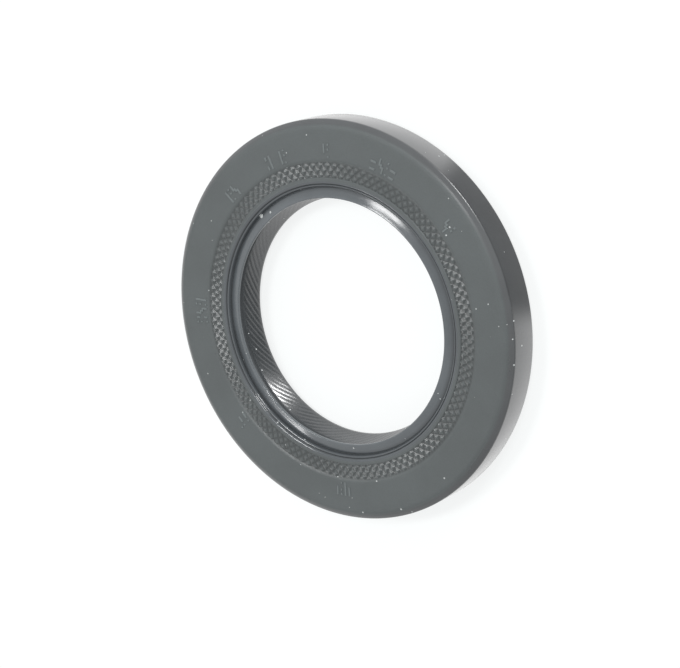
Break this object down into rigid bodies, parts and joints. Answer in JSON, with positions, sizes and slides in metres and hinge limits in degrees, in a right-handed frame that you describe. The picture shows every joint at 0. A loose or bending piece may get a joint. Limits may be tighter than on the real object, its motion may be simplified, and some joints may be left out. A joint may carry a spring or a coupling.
{
  "type": "radial shaft seal",
  "caption": "Rubber-covered rotary shaft seal with a knurled air-side face, a dust lip and a spring-loaded sealing lip.",
  "frame": {"origin": "centre of the oil-side rim, on the plane that the seal stands on", "axes": "+Z along the shaft, from the oil side to the air side"},
  "size_m": [0.0722, 0.0722, 0.007],
  "materials": {
    "rubber": "satin moulded nitrile rubber",
    "case_steel": "pressed, phosphated mild steel",
    "spring_steel": "drawn spring wire"
  },
  "bodies": {
    "root": {"rubber_body": "rubber", "steel_case": "case_steel", "garter_spring": "spring_steel"}
  },
  "joints": []
}
